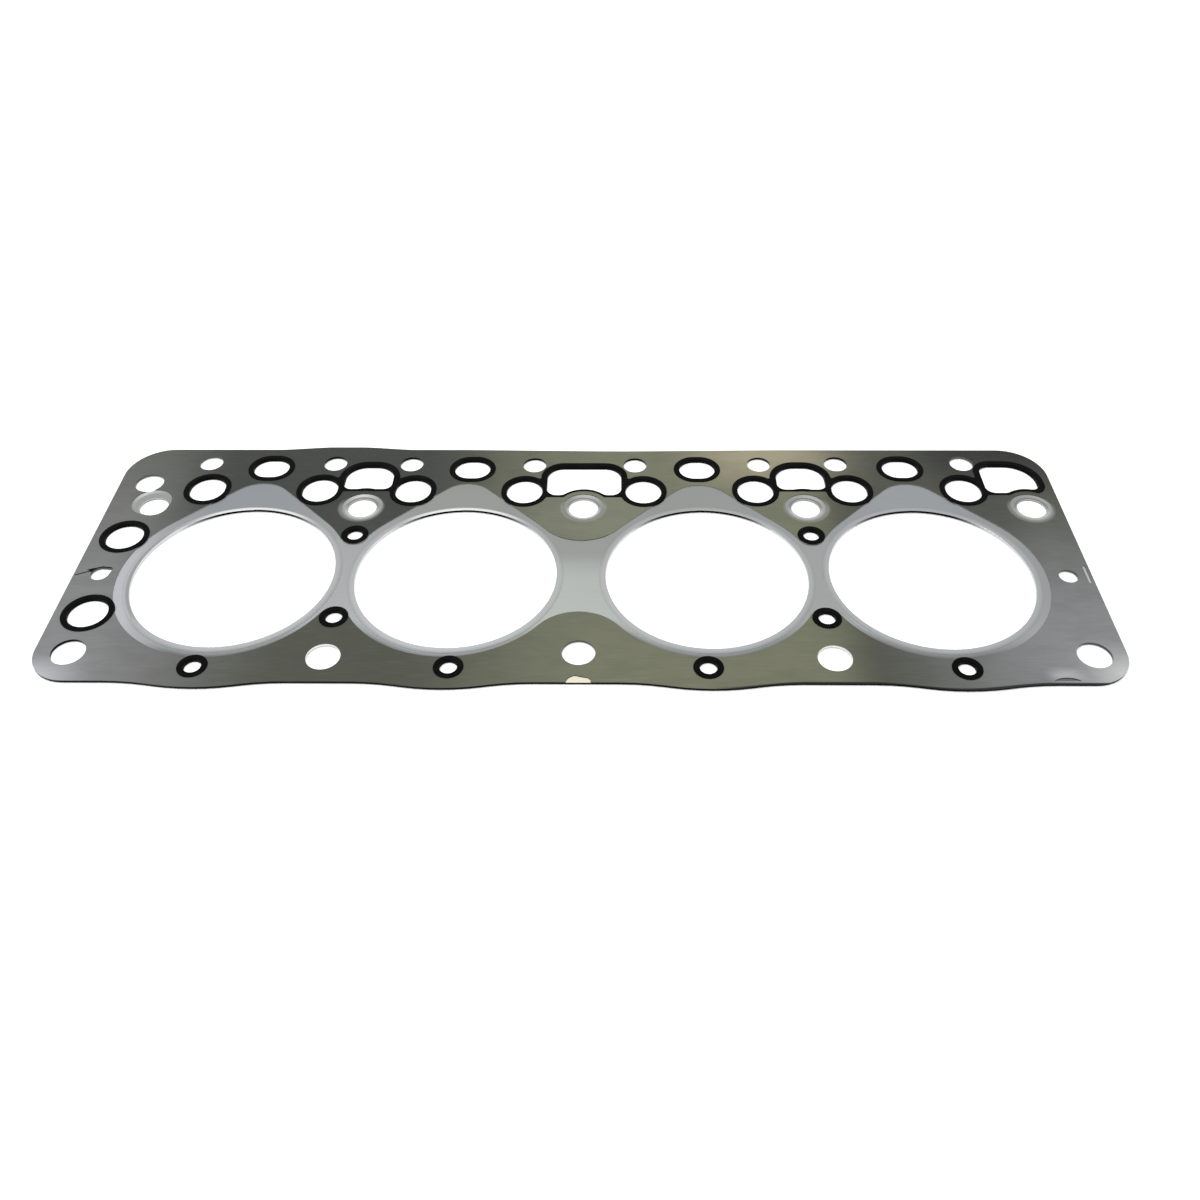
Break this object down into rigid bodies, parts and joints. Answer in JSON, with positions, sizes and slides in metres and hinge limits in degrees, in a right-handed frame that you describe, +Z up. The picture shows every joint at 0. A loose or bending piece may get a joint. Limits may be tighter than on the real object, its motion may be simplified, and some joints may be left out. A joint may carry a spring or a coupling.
{
  "type": "cylinder head gasket",
  "caption": "Flat multi-layer steel cylinder head gasket with a row of large bores, bolt holes and moulded rubber seals round its passages.",
  "frame": {"origin": "on the bores' centreline, half-way between the second and third bores, on the plane of the lower sheet's underside", "axes": "+X along the row of bores, +Y across the gasket towards the pushrod side, +Z up from the cylinder block towards the head"},
  "size_m": [0.5402, 0.1932, 0.0023],
  "materials": {
    "coated_steel": "satin grey-olive sealing coat over rolled steel",
    "bare_steel": "bare rolled stainless steel, fine grain along the length",
    "eyelet_steel": "bright folded stainless steel",
    "moulded_rubber": "black moulded elastomer, slightly glossy"
  },
  "bodies": {
    "root": {"lower_sheet": "coated_steel", "core_plate": "bare_steel", "upper_sheet": "coated_steel", "bore_eyelet_1": "eyelet_steel", "bore_eyelet_2": "eyelet_steel", "bore_eyelet_3": "eyelet_steel", "bore_eyelet_4": "eyelet_steel", "pushrod_seal_left_end": "moulded_rubber", "pushrod_seal_left": "moulded_rubber", "pushrod_seal_middle": "moulded_rubber", "pushrod_seal_right": "moulded_rubber", "pushrod_seal_right_end": "moulded_rubber", "coolant_seal_1": "moulded_rubber", "web_jet_seal_1": "moulded_rubber", "front_jet_seal_1": "moulded_rubber", "coolant_seal_2": "moulded_rubber", "web_jet_seal_2": "moulded_rubber", "front_jet_seal_2": "moulded_rubber", "coolant_seal_3": "moulded_rubber", "web_jet_seal_3": "moulded_rubber", "front_jet_seal_3": "moulded_rubber", "coolant_seal_4": "moulded_rubber", "web_jet_seal_4": "moulded_rubber", "front_jet_seal_4": "moulded_rubber", "end_coolant_seal_front": "moulded_rubber", "end_coolant_seal_rear": "moulded_rubber"}
  },
  "joints": []
}
